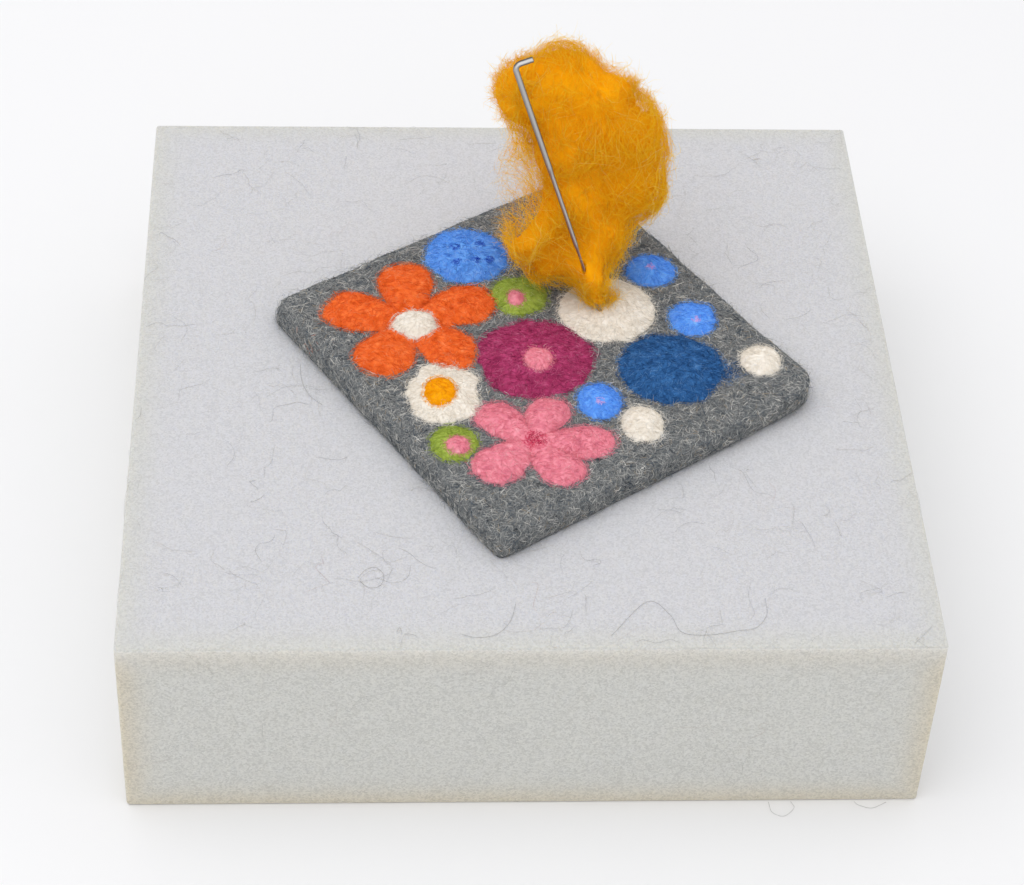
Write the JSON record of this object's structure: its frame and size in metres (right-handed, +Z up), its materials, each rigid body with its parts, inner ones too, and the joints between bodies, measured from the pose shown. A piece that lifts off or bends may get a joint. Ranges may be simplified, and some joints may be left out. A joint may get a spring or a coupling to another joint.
{
  "type": "needle felting mat",
  "caption": "Foam needle felting mat with work on it: a felted wool square with needled flowers and dots, a loose tuft of wool, and the cranked, barbed needle standing in it.",
  "frame": {"origin": "middle of the foam block's underside, on the surface it lies on", "axes": "+Z up out of the foam's top, +Y to the back of the mat, along its longer side, +X to the right"},
  "size_m": [0.2, 0.204, 0.1377],
  "materials": {
    "foam": "fine open-cell cut foam",
    "felt_grey": "heathered needle felt",
    "wool_orange": "needled wool",
    "wool_white": "needled wool",
    "wool_pink": "needled wool",
    "wool_deep_pink": "needled wool",
    "wool_berry": "needled wool",
    "wool_sky": "needled wool",
    "wool_deep_blue": "needled wool",
    "wool_bright_blue": "needled wool",
    "wool_lilac": "needled wool",
    "wool_green": "needled wool",
    "wool_navy": "needled wool",
    "wool_yellow": "loose carded wool",
    "needle_steel": "drawn and polished"
  },
  "bodies": {
    "mat": {"foam_block": "foam"},
    "work": {"felt_base": "felt_grey", "orange_flower_centre": "wool_white", "orange_petal_1": "wool_orange", "orange_petal_2": "wool_orange", "orange_petal_3": "wool_orange", "orange_petal_4": "wool_orange", "orange_petal_5": "wool_orange", "pink_flower_centre": "wool_deep_pink", "pink_petal_1": "wool_pink", "pink_petal_2": "wool_pink", "pink_petal_3": "wool_pink", "pink_petal_4": "wool_pink", "pink_petal_5": "wool_pink", "cream_disc": "wool_white", "berry_disc": "wool_berry", "berry_disc_centre": "wool_pink", "navy_disc": "wool_navy", "sky_disc": "wool_sky", "sky_speck_1": "wool_deep_blue", "sky_speck_2": "wool_deep_blue", "sky_speck_3": "wool_deep_blue", "sky_speck_4": "wool_deep_blue", "sky_speck_5": "wool_deep_blue", "daisy": "wool_white", "daisy_centre": "wool_yellow", "green_dot_back": "wool_green", "green_dot_back_centre": "wool_pink", "green_dot_front": "wool_green", "green_dot_front_centre": "wool_pink", "blue_dot_back": "wool_bright_blue", "blue_dot_back_centre": "wool_lilac", "blue_dot_right": "wool_bright_blue", "blue_dot_right_centre": "wool_lilac", "blue_dot_front": "wool_bright_blue", "blue_dot_front_centre": "wool_lilac", "white_dot_right": "wool_white", "white_dot_front": "wool_white", "wool_tuft": "wool_yellow"},
    "needle": {"felting_needle": "needle_steel"}
  },
  "joints": [
    {"name": "work_lift", "type": "slide", "parent": "mat", "child": "work", "axis": [-0.3277, 0.19, 0.9255], "range_m": [0, 0.05]},
    {"name": "needle_stab", "type": "slide", "parent": "work", "child": "needle", "axis": [-0.3277, 0.19, 0.9255], "range_m": [-0.008, 0.03]}
  ]
}
